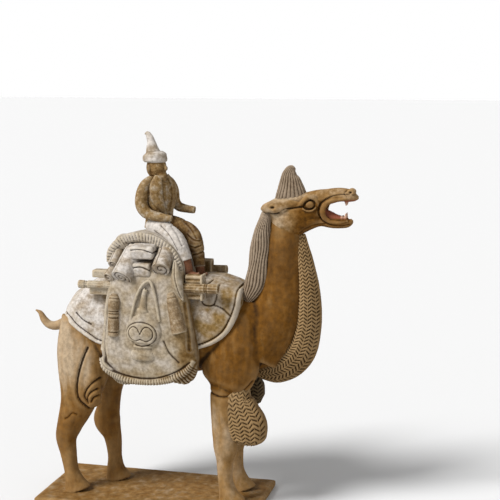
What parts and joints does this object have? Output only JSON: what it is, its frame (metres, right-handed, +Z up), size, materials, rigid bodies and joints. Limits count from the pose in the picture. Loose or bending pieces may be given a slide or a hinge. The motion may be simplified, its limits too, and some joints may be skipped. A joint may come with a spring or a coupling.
{
  "type": "pottery camel and rider figure",
  "caption": "Fired clay tomb figure of a braying camel with loaded pack saddle and a seated rider in a tall cap, standing on a low rectangular slab.",
  "frame": {"origin": "centre of the slab's underside, on the surface the figure stands on", "axes": "+X is the way the camel faces, +Y is the camel's left flank, +Z is up"},
  "size_m": [0.7572, 0.2679, 0.8427],
  "materials": {
    "fired_clay": "unglazed fired clay with worn slip and burial dirt"
  },
  "bodies": {
    "root": {"camel_and_rider": "fired_clay"}
  },
  "joints": []
}
